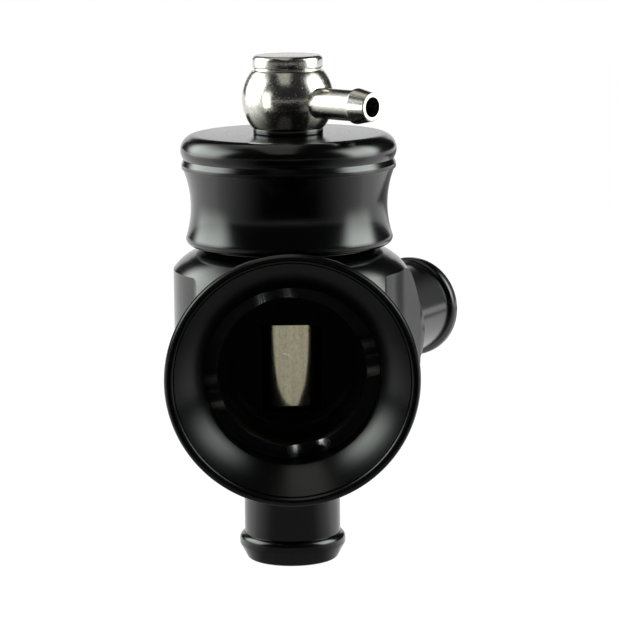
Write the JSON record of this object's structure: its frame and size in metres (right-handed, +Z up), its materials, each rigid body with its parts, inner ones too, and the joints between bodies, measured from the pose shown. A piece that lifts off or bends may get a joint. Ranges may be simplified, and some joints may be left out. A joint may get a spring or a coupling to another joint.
{
  "type": "blow off valve",
  "caption": "Piston blow off valve with a waisted screw cap, a swivelling signal nipple, a flared vent trumpet and hose tails for inlet and recirculation.",
  "frame": {"origin": "on the valve axis at the face of the inlet tail's flange, where the hose stops", "axes": "+Z up the valve axis from the inlet to the cap, the trumpet opens towards -Y"},
  "size_m": [0.0785, 0.1206, 0.1314],
  "materials": {
    "anodised_black": "satin black anodised",
    "nickel": "satin nickel plated",
    "champagne": "hard anodised champagne",
    "rubber": "matt black",
    "spring_steel": "drawn spring wire",
    "polymer": "matt cream"
  },
  "bodies": {
    "valve_body": {"body": "anodised_black", "cap": "anodised_black", "cap_o_ring": "rubber", "banjo_bolt": "nickel", "upper_washer": "nickel", "lower_washer": "anodised_black", "spring": "spring_steel", "spring_washer": "spring_steel", "inlet_tail": "anodised_black", "inlet_o_ring": "rubber", "recirc_tail": "anodised_black", "recirc_o_ring": "rubber", "trumpet": "anodised_black", "trumpet_o_ring": "rubber", "trumpet_ring_nut": "anodised_black"},
    "piston": {"piston": "champagne", "piston_wear_ring": "polymer", "piston_o_ring": "rubber", "piston_seat_o_ring": "rubber"},
    "banjo": {"banjo_fitting": "nickel"}
  },
  "joints": [
    {"name": "piston_lift", "type": "slide", "parent": "valve_body", "child": "piston", "axis": [0, 0, 1], "range_m": [0, 0.01], "stiffness_N_per_m": 1800, "springref_m": -0.01, "deforming": ["spring"]},
    {"name": "banjo_swivel", "type": "hinge", "parent": "valve_body", "child": "banjo", "pos_m": [0, 0, 0.09634], "axis": [0, 0, 1], "continuous": true}
  ]
}
